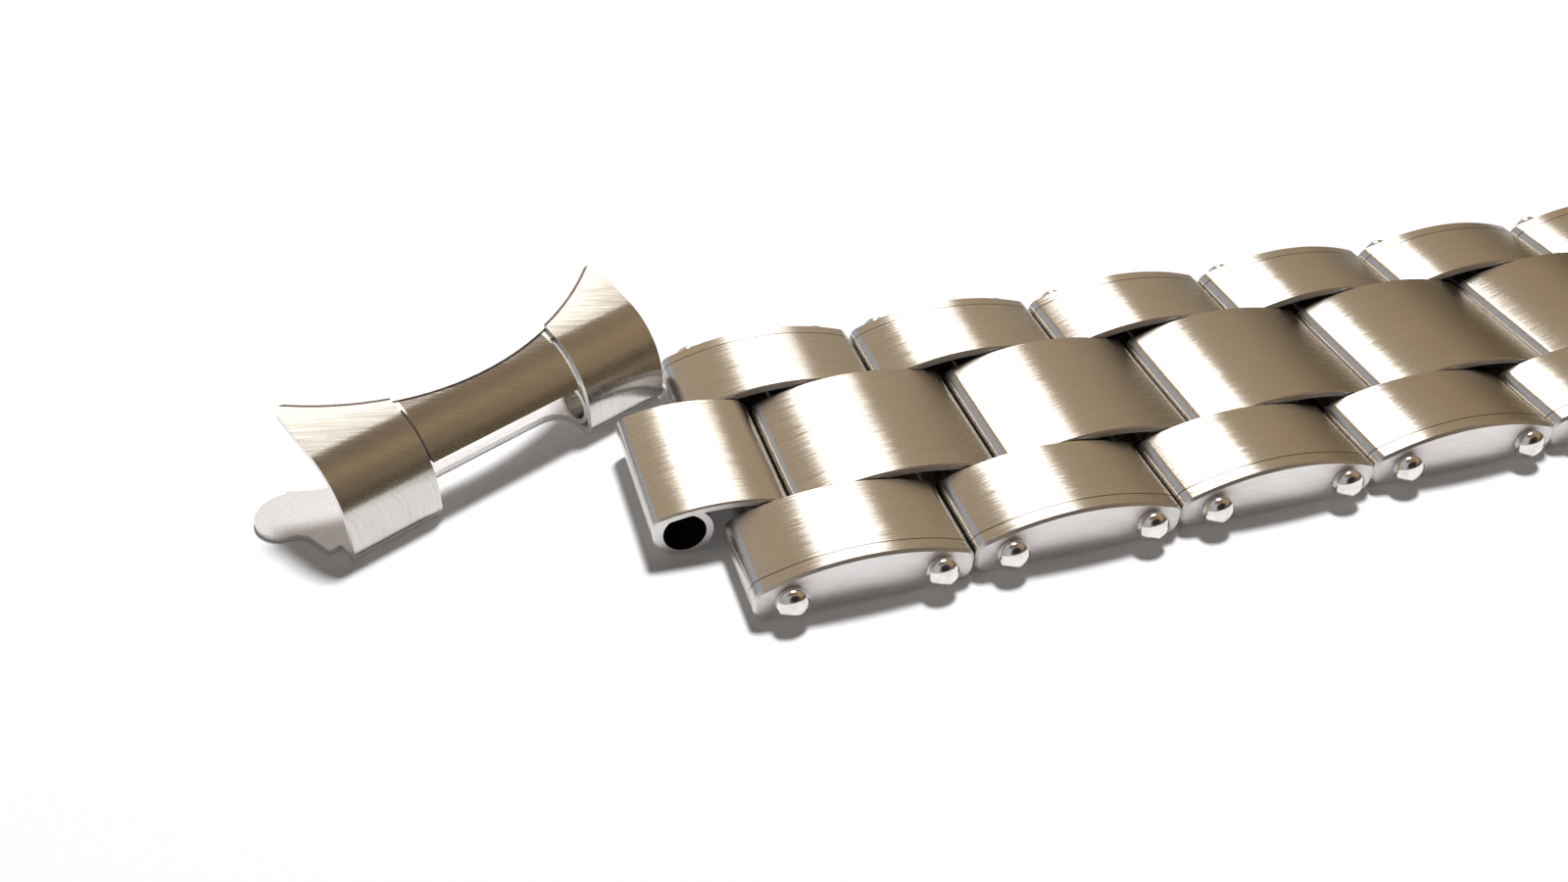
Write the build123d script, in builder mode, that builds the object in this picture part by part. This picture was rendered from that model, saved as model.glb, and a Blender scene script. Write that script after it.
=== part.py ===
from build123d import *
from math import cos, radians, sin, sqrt, tan
import os

os.makedirs("parts", exist_ok=True)

# Driving dimensions of the strip, in mm
row_count = 6
row_pitch = 11.25
rivet_span = 7.5
link_gap = 0.12
link_length = row_pitch - link_gap
rivet_inset = (link_length - rivet_span) / 2
link_thickness = 2.9
link_end_thickness = 1.8
rivet_axis_height = 1.22
sheet = 0.36
nose_top_radius = 0.75
nose_bottom_radius = 0.85
edge_break = 0.08
overrun = 5.0

# Widths across the strip
first_row_width = 19.7
row_taper = 0.32
centre_width = 8.62
side_play = 0.08
end_plate_thickness = 0.8
plate_seam = 0.02
plate_edge_break = 0.14

# Rivets and the eyes that they pass through
shank_radius = 0.6
rivet_head_radius = 0.84
rivet_head_height = 0.92
rivet_head_rim = 0.4
plate_hole_play = 0.015
shell_eye_play = 0.03
running_play = 0.05
eye_outer_radius = shank_radius + running_play + sheet
seam_width = 0.16

# Short link that takes the spring bar of the case
tube_bore_radius = 1.1
tube_outer_radius = tube_bore_radius + sheet
tube_left_radius = 1.62
tube_to_first_rivet = 3.74
short_link_crest = 1.6
short_link_radius = 11.5
short_link_corner_radius = 0.5
short_link_nose_radius = 1.1

# Loose end piece, folded from one sheet, and where it lies beside the strip
end_width = 19.6
end_sheet = 0.35
end_notch_half = 4.76
end_turn = 27.1
end_place = (-6.92, 3.97)
end_toe_radius = 0.8
end_toe_height = 1.8
end_skin_radius = 3.75
end_back_slope = 17.4
end_stock = 0.8
bridge_step = 0.22
bridge_foot_height = 3.2
bridge_overlap = 0.3
bridge_slot_width = 0.2
bridge_slot_height = 5.2
case_radius = 16.0
case_reach = 2.85
floor_case_radius = 15.4
floor_case_reach = 3.45
floor_front = 3.0
floor_corner_radius = 1.2
bar_reach = 1.55
bar_height = 1.55
bar_bore_radius = 0.95
bar_tube_wall = 0.3
bar_tube_setback = 2.0
horn_tip_radius = 0.4
foot_root_inset = 1.0
foot_step_reach = 1.45
foot_step_out = 0.65
foot_neck_reach = 3.1
foot_neck_out = 0.85
foot_tab_reach = 5.25
foot_tab_out = 0.75
foot_tab_radius = 1.7

# The origin is on the spring bar axis; the strip rests one tube radius below it
rest_height = -tube_outer_radius
rivet_height = rest_height + rivet_axis_height
arch_top = rest_height + link_thickness
arch_ends = rest_height + link_end_thickness
arch_drop = link_thickness - link_end_thickness
half_link = link_length / 2
arch_radius = (half_link * half_link + arch_drop * arch_drop) / (2 * arch_drop)
centre_half = centre_width / 2
shell_inner_side = centre_half + side_play


# Place along the strip of the left rivet of an outer pair
def first_rivet(row):
    return tube_to_first_rivet + (row - 1) * row_pitch


# Place along the strip of the right rivet of an outer pair
def second_rivet(row):
    return first_rivet(row) + rivet_span


# Half of the width over the end plates of a row
def half_width(row):
    return (first_row_width - (row - 1) * row_taper) / 2


# Height of a surface parallel to the arched top of a link, a depth below it
def arch_height(run, depth):
    radius = arch_radius - depth
    return arch_top - arch_radius + sqrt(radius * radius - run * run)


# Bar of link section before it is hollowed out; a side that meets a plate keeps sharp edges
def link_blank(left, near_side, far_side, near_break=0, far_break=0):
    right = left + link_length
    middle = left + half_link
    with BuildPart() as blank:
        with BuildSketch(Plane.XZ.offset(-far_side)) as section:
            with BuildLine():
                Line((left, arch_ends), (left, rest_height))
                Line((left, rest_height), (right, rest_height))
                Line((right, rest_height), (right, arch_ends))
                ThreePointArc((right, arch_ends), (middle, arch_top), (left, arch_ends))
            make_face()
            fillet(section.vertices().group_by(Axis.Y)[0], nose_bottom_radius)
            fillet(section.vertices().group_by(Axis.Y)[-1], nose_top_radius)
        extrude(amount=far_side - near_side)
        if near_break:
            chamfer(blank.faces().sort_by(Axis.Y)[0].outer_wire().edges(), near_break)
        if far_break:
            chamfer(blank.faces().sort_by(Axis.Y)[-1].outer_wire().edges(), far_break)
    return blank.part


# Link folded from one sheet: a pocket under the top, an eye round each rivet, a seam underneath
def folded_link(blank, pocket_start, pocket_end, middle, eyes, eye_radius, seam, near_side, far_side):
    pocket_middle = (pocket_start + pocket_end) / 2
    floor = rest_height + sheet
    with BuildPart() as link:
        add(blank)
        with BuildSketch(Plane.XZ.offset(-far_side - overrun)):
            with BuildLine():
                Line((pocket_start, arch_height(pocket_start - middle, sheet)), (pocket_start, floor))
                Line((pocket_start, floor), (pocket_end, floor))
                Line((pocket_end, floor), (pocket_end, arch_height(pocket_end - middle, sheet)))
                ThreePointArc(
                    (pocket_end, arch_height(pocket_end - middle, sheet)),
                    (pocket_middle, arch_height(pocket_middle - middle, sheet)),
                    (pocket_start, arch_height(pocket_start - middle, sheet)),
                )
            make_face()
            with Locations(*[(eye, rivet_height) for eye in eyes]):
                Circle(eye_outer_radius, mode=Mode.SUBTRACT)
                Circle(eye_radius)
            with Locations((seam, rest_height)):
                Rectangle(seam_width, sheet + sheet)
        extrude(amount=far_side - near_side + 2 * overrun, mode=Mode.SUBTRACT)
    return link.part


print("rivets, shells and end plates")
for row in range(1, row_count + 1):
    first = first_rivet(row)
    second = second_rivet(row)
    left = first - rivet_inset
    middle = left + half_link
    outer_side = half_width(row)
    seam_side = outer_side - end_plate_thickness
    shell_side = seam_side - plate_seam

    with BuildPart() as outer_shells:
        shell_blank = link_blank(left, shell_inner_side, shell_side, near_break=edge_break)
        shell = folded_link(
            shell_blank, first, second, middle, (first, second),
            shank_radius + shell_eye_play, middle, shell_inner_side, shell_side,
        )
        add(shell)
        mirror(about=Plane.XZ)

    with BuildPart() as end_plates:
        add(link_blank(left, seam_side, outer_side, far_break=plate_edge_break))
        with BuildSketch(Plane.XZ.offset(-outer_side - overrun)):
            with Locations((first, rivet_height), (second, rivet_height)):
                Circle(shank_radius + plate_hole_play)
        extrude(amount=2 * overrun + end_plate_thickness, mode=Mode.SUBTRACT)
        mirror(about=Plane.XZ)

    with BuildPart() as rivets:
        for place in (first, second):
            with BuildSketch(Plane.XY.offset(rivet_height)):
                with BuildLine():
                    crown = outer_side + rivet_head_height
                    rim = outer_side + rivet_head_rim
                    edge = place + rivet_head_radius
                    neck = place + shank_radius
                    head_arc_height = rivet_head_height - rivet_head_rim
                    crown_radius = (
                        rivet_head_radius * rivet_head_radius + head_arc_height * head_arc_height
                    ) / (2 * head_arc_height)
                    Line((place, -crown), (place, crown))
                    RadiusArc((place, crown), (edge, rim), crown_radius)
                    Polyline(
                        (edge, rim), (edge, outer_side), (neck, outer_side),
                        (neck, -outer_side), (edge, -outer_side), (edge, -rim),
                    )
                    RadiusArc((edge, -rim), (place, -crown), crown_radius)
                make_face()
            revolve(axis=Axis((place, 0, rivet_height), (0, 1, 0)))

    # The centre link reaches from one outer pair to the next
    centre_right = first + row_pitch + rivet_inset
    centre_left = centre_right - link_length
    centre_middle = centre_left + half_link
    next_rivet = first + row_pitch
    with BuildPart() as centre_link:
        centre_blank = link_blank(centre_left, -centre_half, centre_half, edge_break, edge_break)
        folded = folded_link(
            centre_blank, centre_left + sheet, next_rivet, centre_middle, (second, next_rivet),
            shank_radius + running_play, (second + next_rivet) / 2, -centre_half, centre_half,
        )
        add(folded)

    for piece, label in (
        (outer_shells, f"row_{row}_outer_shells"),
        (end_plates, f"row_{row}_end_plates"),
        (rivets, f"row_{row}_rivets"),
        (centre_link, f"row_{row}_centre_link"),
    ):
        piece.part.label = label
        export_step(piece.part, f"parts/{label}.step")


print("short link and end piece")
short_right = tube_to_first_rivet + rivet_inset
short_arch_centre = (short_link_crest, arch_top - short_link_radius)
tube_left = -tube_left_radius


# Height of the arched top of the short link
def short_height(place):
    run = place - short_link_crest
    return arch_top - short_link_radius + sqrt(short_link_radius * short_link_radius - run * run)


with BuildPart() as short_link:
    with BuildSketch(Plane.XZ.offset(-centre_half)) as section:
        with BuildLine():
            Line((tube_left, rest_height + tube_left_radius), (tube_left, short_height(tube_left)))
            ThreePointArc(
                (tube_left, short_height(tube_left)), (short_link_crest, arch_top),
                (short_right, short_height(short_right)),
            )
            Line((short_right, short_height(short_right)), (short_right, rest_height))
            Line((short_right, rest_height), (0, rest_height))
            CenterArc((0, rest_height + tube_left_radius), tube_left_radius, 180, 90)
        make_face()
        right_corners = section.vertices().group_by(Axis.X)[-1].sort_by(Axis.Y)
        fillet(right_corners[0], nose_bottom_radius)
        right_corners = section.vertices().group_by(Axis.X)[-1].sort_by(Axis.Y)
        fillet(right_corners[-1], short_link_nose_radius)
        left_corners = section.vertices().group_by(Axis.X)[0].sort_by(Axis.Y)
        fillet(left_corners[-1], short_link_corner_radius)
    extrude(amount=centre_width)
    chamfer(short_link.faces().sort_by(Axis.Y)[0].outer_wire().edges(), edge_break)
    chamfer(short_link.faces().sort_by(Axis.Y)[-1].outer_wire().edges(), edge_break)
    # Underside between the two curls, and the rivet's eye
    with BuildSketch(Plane.XZ.offset(-centre_half - overrun)):
        with Locations((tube_to_first_rivet / 2, rest_height)):
            Rectangle(tube_to_first_rivet, 2 * link_thickness)
        with Locations(short_arch_centre):
            Circle(short_link_radius - sheet, mode=Mode.INTERSECT)
        Circle(tube_outer_radius, mode=Mode.SUBTRACT)
        with Locations((tube_to_first_rivet, rivet_height)):
            Circle(eye_outer_radius, mode=Mode.SUBTRACT)
            Circle(shank_radius + running_play)
    extrude(amount=centre_width + 2 * overrun, mode=Mode.SUBTRACT)
    # Tube for the spring bar, closed above by the top sheet
    with BuildSketch(Plane.XZ.offset(-centre_half - overrun)):
        Circle(tube_bore_radius)
        with Locations(short_arch_centre):
            Circle(short_link_radius - sheet, mode=Mode.INTERSECT)
    extrude(amount=centre_width + 2 * overrun, mode=Mode.SUBTRACT)
short_link.part.label = "short_end_link"
export_step(short_link.part, "parts/short_end_link.step")

# The end piece has its own directions: across its width, towards the case, and up
end_across = Vector(cos(radians(end_turn)), sin(radians(end_turn)), 0)
end_casewards = Vector(-sin(radians(end_turn)), cos(radians(end_turn)), 0)
end_origin = Vector(end_place[0], end_place[1], rest_height)
end_half = end_width / 2
bridge_half = end_notch_half + bridge_overlap
case_middle = (0, case_reach + case_radius)
floor_case_middle = (0, floor_case_reach + floor_case_radius)
horn_reach = case_reach + case_radius - sqrt(case_radius * case_radius - end_half * end_half)
end_back_reach = horn_reach + end_stock


# Upright plane across the end piece at a place along its width
def upright(place):
    return Plane(origin=end_origin + end_across * place, x_dir=end_casewards, z_dir=end_across)


# Level plane through the end piece at a height above the table
def level(height):
    return Plane(origin=end_origin + Vector(0, 0, height), x_dir=end_across, z_dir=(0, 0, 1))


# Section of the end piece: upright at the toe, one round sweep, then a gentle slope to the case
def skin_section():
    with BuildSketch() as skin:
        with BuildLine():
            toe = Line((0, 0), (0, end_toe_height))
            sweep = JernArc(toe @ 1, toe % 1, end_skin_radius, end_back_slope - 90)
            back_run = end_back_reach - (sweep @ 1).X
            back_end = (end_back_reach, (sweep @ 1).Y + back_run * tan(radians(end_back_slope)))
            Polyline(sweep @ 1, back_end, (end_back_reach, 0), (0, 0))
        make_face()
    return skin.sketch


with BuildPart() as end_piece:
    # Ears: the top sheet, folded under at the toe
    for start in (-end_half, end_notch_half):
        with BuildSketch(upright(start)) as ear:
            add(skin_section())
            fillet(ear.vertices().sort_by_distance((0, 0))[0], end_toe_radius)
            offset(amount=-end_sheet, mode=Mode.SUBTRACT)
        extrude(amount=end_half - end_notch_half)
    # Bridge between the ears, a step below them and open underneath for the short link
    with BuildSketch(upright(-bridge_half)):
        add(skin_section())
        offset(amount=-bridge_step, mode=Mode.REPLACE)
        offset(amount=-end_sheet, mode=Mode.SUBTRACT)
        Rectangle(2 * (end_back_reach + overrun), 2 * bridge_foot_height, mode=Mode.SUBTRACT)
    extrude(amount=2 * bridge_half)
    # Floor under the bridge, and the rounded tabs beyond the ears
    with BuildSketch(level(0)) as floor:
        with Locations((0, (floor_front + end_back_reach) / 2)):
            Rectangle(2 * (end_half - foot_root_inset), end_back_reach - floor_front)
        for side in (-1, 1):
            ear_floor = end_half - foot_root_inset - end_notch_half
            with Locations((side * (end_notch_half + ear_floor / 2), (end_toe_radius + floor_front) / 2)):
                Rectangle(ear_floor, floor_front - end_toe_radius)
            fillet(floor.vertices().sort_by_distance((side * end_notch_half, floor_front))[0],
                   floor_corner_radius)
        for side in (-1, 1):
            root = side * (end_half - foot_root_inset)
            step = side * (end_half + foot_step_out)
            neck = side * (end_half + foot_neck_out)
            nose = side * (end_half + foot_tab_out)
            with BuildLine():
                Polyline(
                    (root, foot_step_reach), (step, foot_step_reach), (neck, foot_neck_reach),
                    (nose + side * foot_tab_radius, foot_tab_reach),
                    (nose, foot_tab_reach + foot_tab_radius), (root, foot_tab_reach), close=True,
                )
            make_face()
            with Locations((nose, foot_tab_reach)):
                Circle(foot_tab_radius)
    extrude(amount=end_sheet)
    # Tubes in the ears for the ends of the spring bar, set back from the outer ends
    tube_length = end_half - bar_tube_setback - end_notch_half
    for start in (-end_half + bar_tube_setback, end_notch_half):
        with BuildSketch(upright(start)):
            with Locations((bar_reach, bar_height)):
                Circle(bar_bore_radius + bar_tube_wall)
        extrude(amount=tube_length)
    with BuildSketch(upright(-end_half - overrun)):
        with Locations((bar_reach, bar_height)):
            Circle(bar_bore_radius)
    extrude(amount=2 * (end_half + overrun), mode=Mode.SUBTRACT)
    # Slots that part the bridge from the ears
    for start in (-end_notch_half, end_notch_half - bridge_slot_width):
        with BuildSketch(upright(start)):
            with Locations((0, (bridge_foot_height + bridge_slot_height) / 2)):
                Rectangle(2 * case_reach, bridge_slot_height - bridge_foot_height + edge_break)
        extrude(amount=bridge_slot_width, mode=Mode.SUBTRACT)
    # Concave sides that lie against the round case
    with BuildSketch(level(end_sheet)):
        with Locations(case_middle):
            Circle(case_radius)
    extrude(amount=end_back_reach + overrun, mode=Mode.SUBTRACT)
    with BuildSketch(level(-overrun)):
        with Locations(floor_case_middle):
            Circle(floor_case_radius)
    extrude(amount=overrun + end_sheet + edge_break, mode=Mode.SUBTRACT)
    # Rounded tips of the two horns
    upright_edges = end_piece.edges().filter_by(Axis.Z).filter_by(lambda edge: edge.center().Z > arch_top)
    horn_tips = upright_edges.sort_by(lambda edge: abs((edge.center() - end_origin).dot(end_across)))[-2:]
    fillet(horn_tips, horn_tip_radius)
end_piece.part.label = "end_piece"
export_step(end_piece.part, "parts/end_piece.step")
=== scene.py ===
import math

import bmesh
import bpy
from mathutils import Matrix, Vector


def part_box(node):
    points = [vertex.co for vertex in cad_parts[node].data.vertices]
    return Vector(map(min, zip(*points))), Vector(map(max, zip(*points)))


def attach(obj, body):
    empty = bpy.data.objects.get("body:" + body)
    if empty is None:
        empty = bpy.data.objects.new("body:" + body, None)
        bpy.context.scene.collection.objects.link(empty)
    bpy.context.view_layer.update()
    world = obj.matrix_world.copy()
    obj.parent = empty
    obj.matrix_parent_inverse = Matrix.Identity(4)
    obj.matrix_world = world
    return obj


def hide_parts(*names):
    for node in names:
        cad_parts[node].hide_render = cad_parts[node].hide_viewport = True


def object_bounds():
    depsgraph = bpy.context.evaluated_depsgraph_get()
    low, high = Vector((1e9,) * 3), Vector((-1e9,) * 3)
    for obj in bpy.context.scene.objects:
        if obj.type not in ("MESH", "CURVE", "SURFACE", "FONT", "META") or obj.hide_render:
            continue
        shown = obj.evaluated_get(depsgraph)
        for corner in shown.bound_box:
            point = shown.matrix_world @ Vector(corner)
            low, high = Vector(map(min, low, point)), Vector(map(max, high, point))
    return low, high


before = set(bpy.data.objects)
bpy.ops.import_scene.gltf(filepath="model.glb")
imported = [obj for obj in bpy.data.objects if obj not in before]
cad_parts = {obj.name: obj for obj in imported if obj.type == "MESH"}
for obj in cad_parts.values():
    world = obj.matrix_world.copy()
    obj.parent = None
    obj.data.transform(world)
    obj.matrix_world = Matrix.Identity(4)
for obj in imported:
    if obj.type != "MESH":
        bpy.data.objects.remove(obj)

mm = 0.001
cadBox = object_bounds()

# Where the strip lies, read from the frame
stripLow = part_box("row_1_outer_shells")[0]
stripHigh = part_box("row_6_centre_link")[1]
tableHeight = cadBox[0].z
stripMiddle = Vector(((stripLow.x + stripHigh.x) / 2, 0, tableHeight))
alongStrip, acrossStrip, upwards = (1, 0, 0), (0, 1, 0), (0, 0, 1)


# Camera at the photograph's viewpoint
cameraLook = {
    "place": Vector((-10.871, -56.292, 49.500)) * mm,  # height is over the table
    "right": Vector((0.95803, -0.28657, 0.00782)),  # right and down of the picture
    "down": Vector((-0.17292, -0.59943, -0.78153)),
    "focalPixels": 1484.58,
    "imageWidth": 1600,
    "sensorWidth": 36.0,
    "nearest": 1 * mm,
    "farthest": 10,
}


def addToScene(name, data):
    thing = bpy.data.objects.new(name, data)
    bpy.context.scene.collection.objects.link(thing)
    return thing


def makeCamera(look):
    data = bpy.data.cameras.new("photoCamera")
    data.sensor_width = look["sensorWidth"]
    data.lens = look["focalPixels"] / look["imageWidth"] * look["sensorWidth"]
    data.clip_start = look["nearest"]
    data.clip_end = look["farthest"]
    camera = addToScene("photoCamera", data)
    right = look["right"].normalized()
    up = -look["down"].normalized()
    turn = Matrix((right, up, right.cross(up))).transposed()
    place = look["place"] + Vector((0, 0, tableHeight))
    camera.matrix_world = Matrix.Translation(place) @ turn.to_4x4()
    bpy.context.scene.camera = camera


makeCamera(cameraLook)
print("camera placed")


# Short forms for building node trees; an input is a value or another node's output
def addNode(tree, kind, inputs=None, **settings):
    node = tree.nodes.new(kind)
    for name, value in settings.items():
        setattr(node, name, value)
    for key, value in (inputs or {}).items():
        if isinstance(value, bpy.types.NodeSocket):
            tree.links.new(value, node.inputs[key])
        else:
            node.inputs[key].default_value = value
    return node


def mathNode(tree, operation, first, second=0.0):
    inputs = {0: first, 1: second}
    return addNode(tree, "ShaderNodeMath", inputs, operation=operation).outputs[0]


def vectorMath(tree, operation, inputs):
    return addNode(tree, "ShaderNodeVectorMath", inputs, operation=operation).outputs


def vectorNode(tree, operation, first, second):
    return vectorMath(tree, operation, {0: first, 1: second})[0]


def scaleNode(tree, vector, scale):
    return vectorMath(tree, "SCALE", {0: vector, "Scale": scale})[0]


def unitNode(tree, vector):
    return vectorMath(tree, "NORMALIZE", {0: vector})[0]


def lengthNode(tree, vector):
    return vectorMath(tree, "LENGTH", {0: vector})["Value"]


# How far a vector reaches along a direction
def reachNode(tree, vector, direction):
    return vectorMath(tree, "DOT_PRODUCT", {0: vector, 1: direction})["Value"]


def splitVector(tree, vector):
    return addNode(tree, "ShaderNodeSeparateXYZ", {0: vector}).outputs


def joinVector(tree, x=0.0, y=0.0, z=0.0):
    return addNode(tree, "ShaderNodeCombineXYZ", {0: x, 1: y, 2: z}).outputs[0]


def rangeNode(tree, value, fromLow, fromHigh, toLow=0.0, toHigh=1.0):
    inputs = {0: value, 1: fromLow, 2: fromHigh, 3: toLow, 4: toHigh}
    return addNode(tree, "ShaderNodeMapRange", inputs, clamp=True).outputs[0]


# 1 up to the start, 0 past the end
def fadeOut(tree, value, start, end):
    return rangeNode(tree, value, start, end, 1.0, 0.0)


def mixColours(tree, share, first, second):
    inputs = {0: share, 6: first, 7: second}
    return addNode(tree, "ShaderNodeMix", inputs, data_type="RGBA").outputs[2]


def mixValues(tree, share, first, second):
    inputs = {0: share, 2: first, 3: second}
    return addNode(tree, "ShaderNodeMix", inputs, data_type="FLOAT").outputs[0]


# A pattern is its scale per metre along X, Y and Z, its detail and its roughness
def noiseNode(tree, place, pattern):
    perMetre, detail, roughness = pattern
    stretched = vectorNode(tree, "MULTIPLY", place, perMetre)
    inputs = {"Vector": stretched, "Scale": 1.0, "Detail": detail, "Roughness": roughness}
    return addNode(tree, "ShaderNodeTexNoise", inputs).outputs["Fac"]


# A direction of the piece's own, turned with the piece
def ownDirection(tree, direction):
    return addNode(tree, "ShaderNodeVectorTransform", {0: direction}, vector_type="VECTOR",
                   convert_from="OBJECT", convert_to="WORLD").outputs[0]


def startMaterial(name):
    material = bpy.data.materials.new(name)
    material.use_nodes = True
    material.node_tree.nodes.clear()
    return material, material.node_tree


def showSurface(tree, shader):
    addNode(tree, "ShaderNodeOutputMaterial", {"Surface": shader.outputs[0]})


# Links: tops brushed along the strip, flanks with a finer satin grain; the flanks' colour is
# painted lighter than the tops', a painted sheen
linkLook = {
    "topLight": (0.74, 0.715, 0.68, 1),
    "topDark": (0.60, 0.57, 0.53, 1),
    # flank tones are painted lighter than the top tones: painted sheen on the same steel
    "flankSheenLight": (0.92, 0.895, 0.88, 1),
    "flankSheenDark": (0.83, 0.80, 0.785, 1),
    "grain": ((200, 15000, 200), 3.0, 0.65),
    "fineGrain": ((520, 36000, 520), 2.0, 0.5),
    "flankGrain": ((700, 700, 9000), 3.0, 0.5),
    "cloud": ((160, 260, 160), 2.0, 0.5),
    "fineShare": 0.55,
    "flankCloudShare": 0.5,
    "roughCloudShare": 0.4,
    "shadeSpan": (0.35, 0.65),  # noise that counts as dark and as light
    "roughSpan": (0.3, 0.7),
    "flankTurn": (0.6, 0.9),  # how far a face looks sideways, from top to flank
    "roughLow": 0.20,
    "roughHigh": 0.30,
    "flankRough": 0.5,
    "grainMiddle": 0.5,  # noise that leaves the normal straight
    "grainTilt": 0.16,
    "anisotropy": 0.9,
    "centreCrown": 0.09,  # lean of the centre links' sheen along the strip
    "shortCrown": 0.03,
}


# Normals tilted along the grain, so that a face glints in streaks
def leanedNormal(tree, look, grainAxis, grain, crown, top):
    tilt = mathNode(tree, "SUBTRACT", grain, look["grainMiddle"])
    tilt = mathNode(tree, "MULTIPLY", tilt, look["grainTilt"])
    tilt = mathNode(tree, "MULTIPLY", mathNode(tree, "ADD", tilt, crown), top)
    lean = scaleNode(tree, ownDirection(tree, grainAxis), tilt)
    straight = addNode(tree, "ShaderNodeNewGeometry").outputs["Normal"]
    return unitNode(tree, vectorNode(tree, "ADD", straight, lean))


# Sheen drawn out across the grain on tops, along it on flanks
def sheenTangent(tree, grainAxis, crossAxis, surface):
    across = scaleNode(tree, ownDirection(tree, crossAxis), surface["top"])
    along = scaleNode(tree, ownDirection(tree, grainAxis), surface["flank"])
    return vectorNode(tree, "ADD", across, along)


# Each mark gives its share at a point and the colour it paints there, mostly painted shade;
# raw is for a bare foot of the sheet; crown leans the sheen along the grain, as a number or a
# function
def brushedMetal(name, look, grainAxis, crossAxis, crown=0.0, marks=(), raw=None):
    material, tree = startMaterial(name)
    coordinates = addNode(tree, "ShaderNodeTexCoord").outputs
    place, normal = coordinates["Object"], coordinates["Normal"]
    sideways = reachNode(tree, normal, crossAxis)
    flank = rangeNode(tree, mathNode(tree, "ABSOLUTE", sideways), *look["flankTurn"])
    top = mathNode(tree, "SUBTRACT", 1.0, flank)
    surface = {"place": place, "normal": normal, "flank": flank, "top": top}

    fine = noiseNode(tree, place, look["fineGrain"])
    cloud = noiseNode(tree, place, look["cloud"])
    grain = mixValues(tree, look["fineShare"], noiseNode(tree, place, look["grain"]), fine)
    topShade = rangeNode(tree, grain, *look["shadeSpan"])
    topColour = mixColours(tree, topShade, look["topDark"], look["topLight"])
    flankGrain = noiseNode(tree, place, look["flankGrain"])
    flankShade = mixValues(tree, look["flankCloudShare"], flankGrain, cloud)
    flankShade = rangeNode(tree, flankShade, *look["shadeSpan"])
    flankSheenColour = mixColours(tree, flankShade, look["flankSheenDark"], look["flankSheenLight"])
    # Faces looking sideways take the lighter flank colour, a painted sheen
    colour = mixColours(tree, flank, topColour, flankSheenColour)
    for mark, shade in marks:
        colour = mixColours(tree, mark(tree, surface), colour, shade)

    rough = mixValues(tree, look["roughCloudShare"], fine, cloud)
    rough = rangeNode(tree, rough, *look["roughSpan"], look["roughLow"], look["roughHigh"])
    rough = mixValues(tree, flank, rough, look["flankRough"])
    metal = 1.0
    if raw:
        height = splitVector(tree, place)["Z"]
        bare = fadeOut(tree, height, raw["height"], raw["height"] + raw["fade"])
        speckle = rangeNode(tree, noiseNode(tree, place, raw["specks"]), *raw["speckSpan"])
        speckled = mixColours(tree, speckle, raw["dark"], raw["light"])
        colour = mixColours(tree, bare, colour, speckled)
        rough = mixValues(tree, bare, rough, raw["rough"])
        metal = mixValues(tree, bare, metal, raw["metal"])

    crown = crown(tree, surface) if callable(crown) else crown
    showSurface(tree, addNode(tree, "ShaderNodeBsdfPrincipled", {
        "Base Color": colour,
        "Metallic": metal,
        "Roughness": rough,
        "Anisotropic": look["anisotropy"],
        "Normal": leanedNormal(tree, look, grainAxis, grain, crown, top),
        "Tangent": sheenTangent(tree, grainAxis, crossAxis, surface),
    }))
    return material


# Rivets: polished, with faint dull clouds
rivetLook = {
    "colour": (0.86, 0.84, 0.82, 1),
    "dull": (0.74, 0.71, 0.68, 1),
    "clouds": ((2600, 2600, 2600), 3.0, 0.5),
    "shadeSpan": (0.35, 0.65),
    "roughSpan": (0.3, 0.7),
    "roughLow": 0.07,
    "roughHigh": 0.16,
}


def polishedMetal(name, look):
    material, tree = startMaterial(name)
    place = addNode(tree, "ShaderNodeTexCoord").outputs["Object"]
    clouds = noiseNode(tree, place, look["clouds"])
    shade = rangeNode(tree, clouds, *look["shadeSpan"])
    rough = rangeNode(tree, clouds, *look["roughSpan"], look["roughLow"], look["roughHigh"])
    showSurface(tree, addNode(tree, "ShaderNodeBsdfPrincipled", {
        "Base Color": mixColours(tree, shade, look["dull"], look["colour"]),
        "Metallic": 1.0,
        "Roughness": rough,
    }))
    return material


def dress(node, material):
    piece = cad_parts[node]
    piece.data.materials.clear()
    piece.data.materials.append(material)


# Rivet heads: a dome on a short rim, one at each end of both rivets of a row
headLook = {
    "rimHeight": 0.42 * mm,
    "undercut": 35.0,  # degrees that the head curls in under its rim
    "shankRadius": 0.6 * mm,
    "sides": 64,
    "rings": 20,
    "weld": 0.0001 * mm,
}


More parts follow.
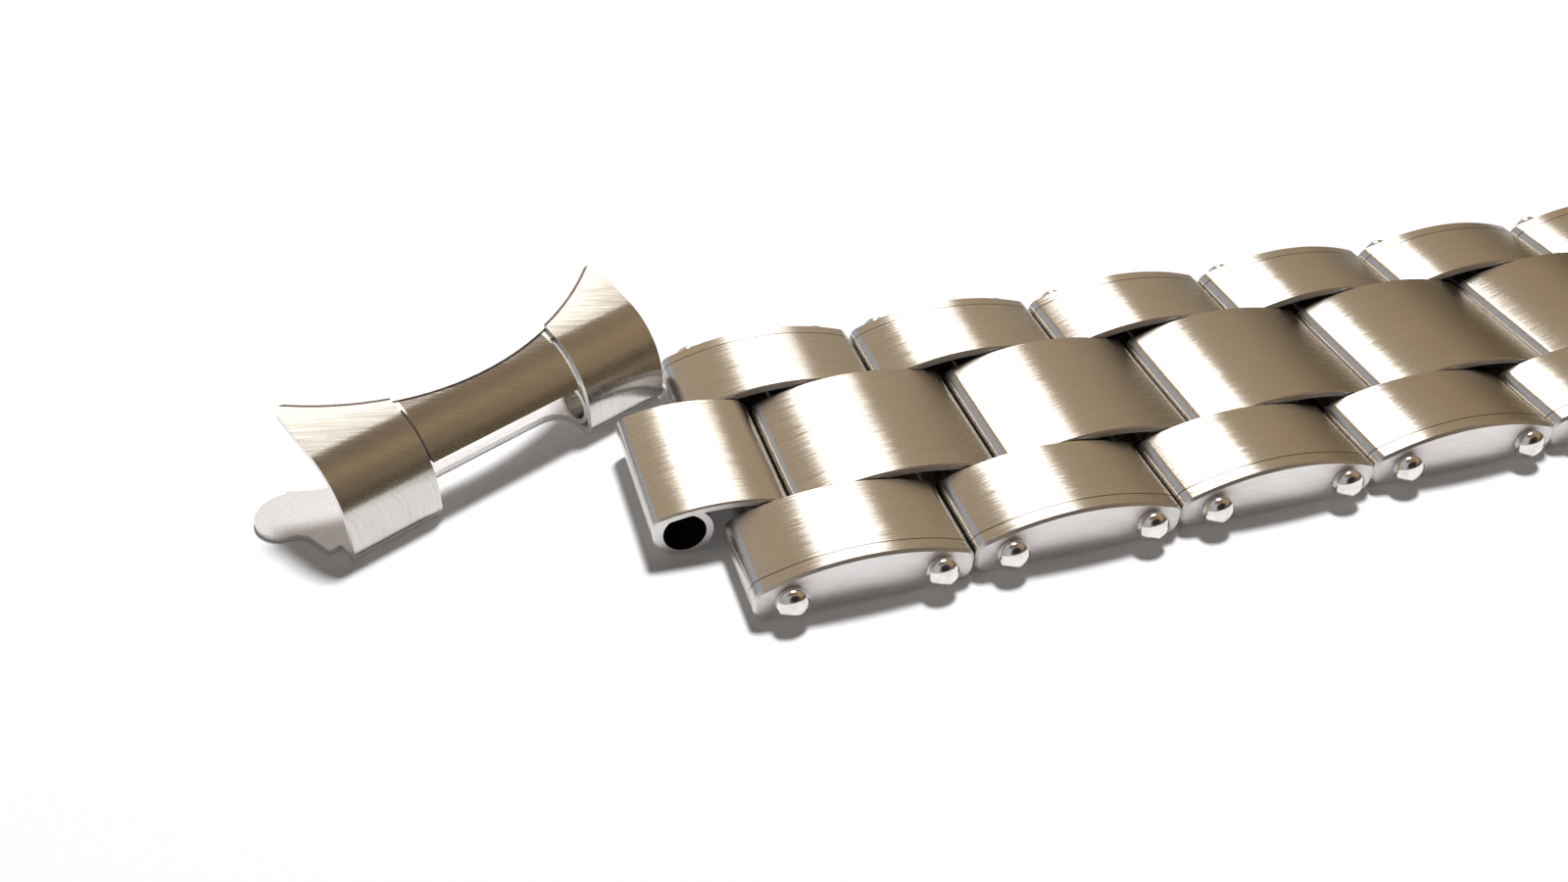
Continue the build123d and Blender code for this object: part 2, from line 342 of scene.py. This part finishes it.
# Dome drawn by bending a post: its height becomes the angle from under the rim to the crown
def bentDome(tree, look, values):
    post = addNode(tree, "GeometryNodeMeshCylinder", {
        "Vertices": look["sides"], "Side Segments": look["rings"],
        "Radius": 1.0, "Depth": 1.0})
    spot = splitVector(tree, addNode(tree, "GeometryNodeInputPosition").outputs[0])
    rise = mathNode(tree, "ADD", spot["Z"], 0.5)  # 0 at the foot of the post, 1 at its top
    under = math.radians(look["undercut"])
    angle = mathNode(tree, "MULTIPLY", rise, under + math.pi / 2)
    angle = mathNode(tree, "SUBTRACT", angle, under)
    wide = mathNode(tree, "MULTIPLY", mathNode(tree, "COSINE", angle), values["headRadius"])
    lift = mathNode(tree, "SINE", angle)
    domeHeight = mathNode(tree, "SUBTRACT", values["headHeight"], values["rimHeight"])
    curlHeight = mathNode(tree, "DIVIDE", values["rimHeight"], math.sin(under))
    above = mathNode(tree, "MULTIPLY", mathNode(tree, "MAXIMUM", lift, 0.0), domeHeight)
    below = mathNode(tree, "MULTIPLY", mathNode(tree, "MINIMUM", lift, 0.0), curlHeight)
    height = mathNode(tree, "ADD", mathNode(tree, "ADD", above, below), values["rimHeight"])
    bent = joinVector(tree, mathNode(tree, "MULTIPLY", spot["X"], wide),
                      mathNode(tree, "MULTIPLY", spot["Y"], wide), height)
    bend = addNode(tree, "GeometryNodeSetPosition", {
        "Geometry": post.outputs["Mesh"], "Position": bent})
    welded = addNode(tree, "GeometryNodeMergeByDistance", {
        "Geometry": bend.outputs[0], "Distance": look["weld"]})
    return welded.outputs[0]


# Two of a shape, one rivet span apart along the strip
def standPair(tree, shape, start, turn, span):
    places = addNode(tree, "GeometryNodeMeshLine", {
        "Count": 2, "Start Location": start, "Offset": joinVector(tree, span)})
    pair = addNode(tree, "GeometryNodeInstanceOnPoints", {
        "Points": places.outputs[0], "Instance": shape, "Rotation": (turn, 0, 0)})
    return pair.outputs[0]


def makeRivetTree(look):
    tree = bpy.data.node_groups.new("rivetPair", "GeometryNodeTree")
    kinds = dict.fromkeys(("headRadius", "headHeight", "rimHeight", "shankRadius",
                           "faceDistance", "rivetSpan"), "Float")
    kinds.update(firstPlace="Vector", steel="Material")
    sockets = {}
    for name, kind in kinds.items():
        socket = tree.interface.new_socket(name, in_out="INPUT", socket_type="NodeSocket" + kind)
        sockets[name] = socket.identifier
    tree.interface.new_socket("rivets", in_out="OUTPUT", socket_type="NodeSocketGeometry")
    values = addNode(tree, "NodeGroupInput").outputs

    # Heads stand on the plates of both sides, shanks run between them
    face, span = values["faceDistance"], values["rivetSpan"]
    quarterTurn = math.pi / 2
    dome = bentDome(tree, look, values)
    joined = addNode(tree, "GeometryNodeJoinGeometry")
    for side in (-1, 1):
        out = joinVector(tree, y=mathNode(tree, "MULTIPLY", face, float(side)))
        start = vectorNode(tree, "ADD", values["firstPlace"], out)
        heads = standPair(tree, dome, start, -side * quarterTurn, span)
        tree.links.new(heads, joined.inputs[0])
    shank = addNode(tree, "GeometryNodeMeshCylinder", {
        "Vertices": look["sides"] // 2, "Radius": values["shankRadius"],
        "Depth": mathNode(tree, "MULTIPLY", face, 2.0)})
    shanks = standPair(tree, shank.outputs["Mesh"], values["firstPlace"], quarterTurn, span)
    tree.links.new(shanks, joined.inputs[0])

    real = addNode(tree, "GeometryNodeRealizeInstances", {0: joined.outputs[0]})
    smooth = addNode(tree, "GeometryNodeSetShadeSmooth", {"Geometry": real.outputs[0]})
    finish = addNode(tree, "GeometryNodeSetMaterial", {
        "Geometry": smooth.outputs[0], "Material": values["steel"]})
    addNode(tree, "NodeGroupOutput", {0: finish.outputs[0]})
    return tree, sockets


# Turns an object with modifiers into a plain mesh
def settle(piece):
    bpy.context.view_layer.update()
    shaped = piece.evaluated_get(bpy.context.evaluated_depsgraph_get())
    solid = bpy.data.meshes.new_from_object(shaped)
    solid.name = piece.name
    piece.modifiers.clear()
    piece.data = solid


def makeRivets(row, tree, sockets, look, material):
    node = f"row_{row}_rivets"
    low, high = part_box(node)
    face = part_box(f"row_{row}_end_plates")[1].y
    radius = (high.z - low.z) / 2
    name = f"row{row}Rivets"
    piece = addToScene(name, bpy.data.meshes.new(name))
    modifier = piece.modifiers.new("rivetPair", "NODES")
    modifier.node_group = tree
    sizes = {
        "headRadius": radius,
        "headHeight": high.y - face,
        "rimHeight": look["rimHeight"],
        "shankRadius": look["shankRadius"],
        "faceDistance": face,
        "rivetSpan": high.x - low.x - 2 * radius,
        "firstPlace": Vector((low.x + radius, 0, (low.z + high.z) / 2)),
        "steel": material,
    }
    for name, value in sizes.items():
        modifier[sockets[name]] = value
    settle(piece)
    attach(piece, f"row_{row}_outer_pair")
    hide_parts(node)


# Painted shade: a fine dark line along the seam between each end plate and its shell, stepping
# inwards as the rows taper
shellHigh, nextShellHigh = (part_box(f"row_{row}_outer_shells")[1] for row in (1, 2))
seamShadeLook = {
    "dark": (0.16, 0.13, 0.11, 1),
    "halfWidth": 0.045 * mm,
    "core": 0.4,  # share of the half width that is fully dark
    "start": stripLow.x,
    "pitch": nextShellHigh.x - shellHigh.x,
    "firstLine": shellHigh.y,
    "taper": shellHigh.y - nextShellHigh.y,
}


def plateSeamShade(tree, surface):
    spot = splitVector(tree, surface["place"])
    row = mathNode(tree, "SUBTRACT", spot["X"], seamShadeLook["start"])
    row = mathNode(tree, "FLOOR", mathNode(tree, "DIVIDE", row, seamShadeLook["pitch"]))
    line = mathNode(tree, "MULTIPLY", row, seamShadeLook["taper"])
    line = mathNode(tree, "SUBTRACT", seamShadeLook["firstLine"], line)
    beside = mathNode(tree, "SUBTRACT", mathNode(tree, "ABSOLUTE", spot["Y"]), line)
    beside = mathNode(tree, "ABSOLUTE", beside)
    core = seamShadeLook["core"] * seamShadeLook["halfWidth"]
    onSeam = fadeOut(tree, beside, core, seamShadeLook["halfWidth"])
    return mathNode(tree, "MULTIPLY", onSeam, surface["top"])


# Painted shade inside the short link's spring bar tube, whose axis is the frame's Y axis
shadedBoreLook = {
    "dark": (0.09, 0.075, 0.065, 1),
    "radius": 1.12 * mm,
    "fade": 0.03 * mm,
}


def barBoreShade(tree, surface):
    offset = vectorNode(tree, "CROSS_PRODUCT", surface["place"], acrossStrip)
    distance = lengthNode(tree, offset)
    inside = fadeOut(tree, distance, shadedBoreLook["radius"], shadedBoreLook["radius"] + shadedBoreLook["fade"])
    return mathNode(tree, "MULTIPLY", inside, surface["top"])


# Outer shells and end plates carry the painted seam shade
outerSteel = brushedMetal("outerSteel", linkLook, alongStrip, acrossStrip,
                          marks=[(plateSeamShade, seamShadeLook["dark"])])
centreSteel = brushedMetal("centreSteel", linkLook, alongStrip, acrossStrip,
                           crown=linkLook["centreCrown"])
rivetSteel = polishedMetal("rivetSteel", rivetLook)

rivetTree, rivetSockets = makeRivetTree(headLook)
rowCount = sum(1 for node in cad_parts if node.endswith("_rivets"))
for row in range(1, rowCount + 1):
    dress(f"row_{row}_outer_shells", outerSteel)
    dress(f"row_{row}_centre_link", centreSteel)
    dress(f"row_{row}_end_plates", outerSteel)
    makeRivets(row, rivetTree, rivetSockets, headLook, rivetSteel)
# The short link carries the painted shade in its bore
shortSteel = brushedMetal("shortSteel", linkLook, alongStrip, acrossStrip,
                          crown=linkLook["shortCrown"], marks=[(barBoreShade, shadedBoreLook["dark"])])
dress("short_end_link", shortSteel)
print("rows dressed:", rowCount)


# End piece: brushed from toe to back, with raw floor strip and tabs
endTurn = math.radians(27.1)  # how far it lies turned from the strip
endAcross = (math.cos(endTurn), math.sin(endTurn), 0)
endCasewards = (-math.sin(endTurn), math.cos(endTurn), 0)
endReaches = [vertex.co.dot(Vector(endAcross))
              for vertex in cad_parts["end_piece"].data.vertices]
endLook = {
    "middle": (min(endReaches) + max(endReaches)) / 2,
    "slitNear": 4.42 * mm,  # from the middle, between bridge and ears
    "slitFar": 4.70 * mm,
    "slitPaintedShade": (0.09, 0.075, 0.065, 1),
    "bridgeCrown": -0.06,
    "caseMiddle": Vector((-15.507, 20.750, 0)) * mm,  # of the round case that it fits
    "rimReach": 16.16 * mm,  # case radius and the width of the brown edge
    "rimFade": 0.05 * mm,
    "rimDark": (0.12, 0.095, 0.08, 1),
    "rimTurn": (0.2, 0.5),  # how far a face looks up, from bare to brown
}
rawLook = {
    "height": tableHeight + 0.42 * mm,
    "fade": 0.05 * mm,
    "light": (0.93, 0.915, 0.90, 1),
    "dark": (0.80, 0.775, 0.75, 1),
    "specks": ((11000, 11000, 11000), 3.0, 0.5),
    "speckSpan": (0.36, 0.5),
    "metal": 0.35,
    "rough": 0.55,
}
sheetEdge = {
    "round": 0.07 * mm,
    "steps": 2,
    "sharpAngle": 34,  # degrees; sharper folds are rounded
    "flatAngle": 0.4,  # degrees; flatter joins become one face
    "weld": 0.0005 * mm,
}


def besideMiddle(tree, surface):
    reach = reachNode(tree, surface["place"], endAcross)
    return mathNode(tree, "ABSOLUTE", mathNode(tree, "SUBTRACT", reach, endLook["middle"]))


# Painted shade in the slits between the bridge and the ears
def earSlitShade(tree, surface):
    beside = besideMiddle(tree, surface)
    past = mathNode(tree, "GREATER_THAN", beside, endLook["slitNear"])
    before = mathNode(tree, "LESS_THAN", beside, endLook["slitFar"])
    inSlit = mathNode(tree, "MULTIPLY", past, before)
    return mathNode(tree, "MULTIPLY", inSlit, surface["flank"])


# Brown edge that follows the round of the case
def caseRim(tree, surface):
    offset = vectorNode(tree, "SUBTRACT", surface["place"], endLook["caseMiddle"])
    distance = lengthNode(tree, vectorNode(tree, "CROSS_PRODUCT", offset, upwards))
    reach = endLook["rimReach"]
    near = fadeOut(tree, distance, reach - endLook["rimFade"], reach)
    upward = reachNode(tree, surface["normal"], upwards)
    return mathNode(tree, "MULTIPLY", near, rangeNode(tree, upward, *endLook["rimTurn"]))


def bridgeCrown(tree, surface):
    onBridge = mathNode(tree, "LESS_THAN", besideMiddle(tree, surface), endLook["slitNear"])
    return mixValues(tree, onBridge, 0.0, endLook["bridgeCrown"])


# Copy of a folded sheet whose sharp edges are rounded off
def roundedSheet(node, name, look, material):
    work = bmesh.new()
    work.from_mesh(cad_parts[node].data)
    bmesh.ops.remove_doubles(work, verts=work.verts, dist=look["weld"])
    bmesh.ops.dissolve_limit(work, angle_limit=math.radians(look["flatAngle"]),
                             verts=work.verts, edges=work.edges)
    mesh = bpy.data.meshes.new(name)
    work.to_mesh(mesh)
    work.free()
    if "custom_normal" in mesh.attributes:
        mesh.attributes.remove(mesh.attributes["custom_normal"])
    mesh.materials.clear()
    mesh.materials.append(material)
    sharpAngle = math.radians(look["sharpAngle"])
    mesh.shade_smooth()
    mesh.set_sharp_from_angle(angle=sharpAngle)
    piece = addToScene(name, mesh)
    rounding = piece.modifiers.new("rounding", "BEVEL")
    rounding.width = look["round"]
    rounding.segments = look["steps"]
    rounding.limit_method = "ANGLE"
    rounding.angle_limit = sharpAngle
    rounding.harden_normals = True
    settle(piece)
    return piece


# The end piece carries the painted slit shade and the brown edge along the case round
endMarks = [(earSlitShade, endLook["slitPaintedShade"]), (caseRim, endLook["rimDark"])]
endSteel = brushedMetal("endSteel", linkLook, endCasewards, endAcross,
                        crown=bridgeCrown, marks=endMarks, raw=rawLook)
endSheet = roundedSheet("end_piece", "endSheet", sheetEdge, endSteel)
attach(endSheet, "end_piece")
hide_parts("end_piece")
print("end piece dressed")


# Pale table
tableLook = {
    "side": 3.0,
    "colour": (0.93, 0.93, 0.935, 1),
    "glow": 0.04,  # seen by the eye and in the metal, lights nothing
}


def makeTable(look):
    half = look["side"] / 2
    mesh = bpy.data.meshes.new("table")
    corners = [(-half, -half), (half, -half), (half, half), (-half, half)]
    spots = [(stripMiddle.x + x, y, tableHeight) for x, y in corners]
    mesh.from_pydata(spots, [], [(0, 1, 2, 3)])
    table = addToScene("table", mesh)
    material, tree = startMaterial("paleTable")
    paint = addNode(tree, "ShaderNodeBsdfDiffuse", {"Color": look["colour"]})
    rays = addNode(tree, "ShaderNodeLightPath").outputs
    seen = mathNode(tree, "MAXIMUM", rays["Is Camera Ray"], rays["Is Glossy Ray"])
    seen = mathNode(tree, "MAXIMUM", seen, rays["Is Transmission Ray"])
    glow = addNode(tree, "ShaderNodeEmission", {
        "Strength": mathNode(tree, "MULTIPLY", seen, look["glow"])})
    both = addNode(tree, "ShaderNodeAddShader", {0: paint.outputs[0], 1: glow.outputs[0]})
    showSurface(tree, both)
    mesh.materials.append(material)


makeTable(tableLook)

# A lamp overhead for the table and its shadows, a pane behind that only the metal mirrors
lampLook = {
    "toLight": (0.20, 0.35, 0.92),
    "distance": 1.5,
    "width": 0.26,
    "height": 0.26,
    "watts": 24.6,
    "colour": (0.99, 0.99, 1.0),
    "mirrored": False,
}
paneLook = {
    "toLight": (0.18, 0.63, 0.756),
    "distance": 1.5,
    "width": 0.54,
    "height": 0.95,
    "watts": 5.4,
    "colour": (1.0, 0.99, 0.97),
    "mirrored": True,
}


def makeSoftBox(name, look):
    data = bpy.data.lights.new(name, "AREA")
    data.shape = "RECTANGLE"
    data.size = look["width"]
    data.size_y = look["height"]
    data.energy = look["watts"]
    data.color = look["colour"]
    light = addToScene(name, data)
    toLight = Vector(look["toLight"]).normalized()
    light.location = stripMiddle + toLight * look["distance"]
    light.rotation_mode = "QUATERNION"
    light.rotation_quaternion = toLight.to_track_quat("Z", "Y")
    light.visible_camera = False
    light.visible_glossy = look["mirrored"]
    light.visible_diffuse = not look["mirrored"]


makeSoftBox("tableLamp", lampLook)
makeSoftBox("brightPane", paneLook)

# Dim room that the metal mirrors; heights and spans are parts of a unit direction
roomLook = {
    "horizonBehind": (0.40, 0.45, 0.54, 1),
    "horizonBefore": (0.15, 0.11, 0.065, 1),
    "cameraSide": (0.03, 0.026, 0.036, 1),
    "toCamera": (0.2, -0.85, 0.48),
    "cameraSideFade": (0.84, 0.94),
    "wallBehind": (0.53, 0.42, 0.29, 1),
    "wallBefore": (0.38, 0.28, 0.17, 1),
    "curtain": (0.46, 0.50, 0.57, 1),
    "ceiling": (0.16, 0.118, 0.085, 1),
    "behind": (-0.9, 0.43, 0),
    "behindFade": (-0.45, -0.05),
    "wallStart": 0.24,
    "wallStartBefore": 0.42,
    "wallEnd": 0.80,
    "ceilingStart": 0.98,
    "curtainSpan": (-0.70, -0.36),  # cooler stretch at the back left
    "curtainFade": 0.08,
    "tableShare": 0.2,  # share of the room's light that reaches the table
}


def makeRoom(look):
    world = bpy.data.worlds.new("dimRoom")
    bpy.context.scene.world = world
    world.use_nodes = True
    tree = world.node_tree
    tree.nodes.clear()
    direction = addNode(tree, "ShaderNodeTexCoord").outputs["Generated"]
    parts = splitVector(tree, direction)
    height, rightwards = parts["Z"], parts["X"]

    start, end = look["curtainSpan"]
    curtain = mathNode(tree, "MINIMUM",
                       rangeNode(tree, rightwards, start - look["curtainFade"], start),
                       fadeOut(tree, rightwards, end, end + look["curtainFade"]))
    wallBehind = mixColours(tree, curtain, look["wallBehind"], look["curtain"])
    low = rangeNode(tree, height, 0.0, look["wallStart"])
    lowBefore = rangeNode(tree, height, look["wallStart"], look["wallStartBefore"])
    colourBehind = mixColours(tree, low, look["horizonBehind"], wallBehind)
    colourBefore = mixColours(tree, lowBefore, look["horizonBefore"], look["wallBefore"])
    behind = reachNode(tree, direction, look["behind"])
    behind = rangeNode(tree, behind, *look["behindFade"])
    colour = mixColours(tree, behind, colourBefore, colourBehind)
    high = rangeNode(tree, height, look["wallEnd"], look["ceilingStart"])
    colour = mixColours(tree, high, colour, look["ceiling"])
    toCamera = Vector(look["toCamera"]).normalized()
    dark = reachNode(tree, direction, toCamera)
    dark = rangeNode(tree, dark, *look["cameraSideFade"])
    colour = mixColours(tree, dark, colour, look["cameraSide"])

    toTable = addNode(tree, "ShaderNodeLightPath").outputs["Is Diffuse Ray"]
    background = addNode(tree, "ShaderNodeBackground", {
        "Color": colour, "Strength": mixValues(tree, toTable, 1.0, look["tableShare"])})
    addNode(tree, "ShaderNodeOutputWorld", {"Surface": background.outputs[0]})


makeRoom(roomLook)
bpy.context.scene.view_settings.view_transform = "Standard"
print("table and lights placed")
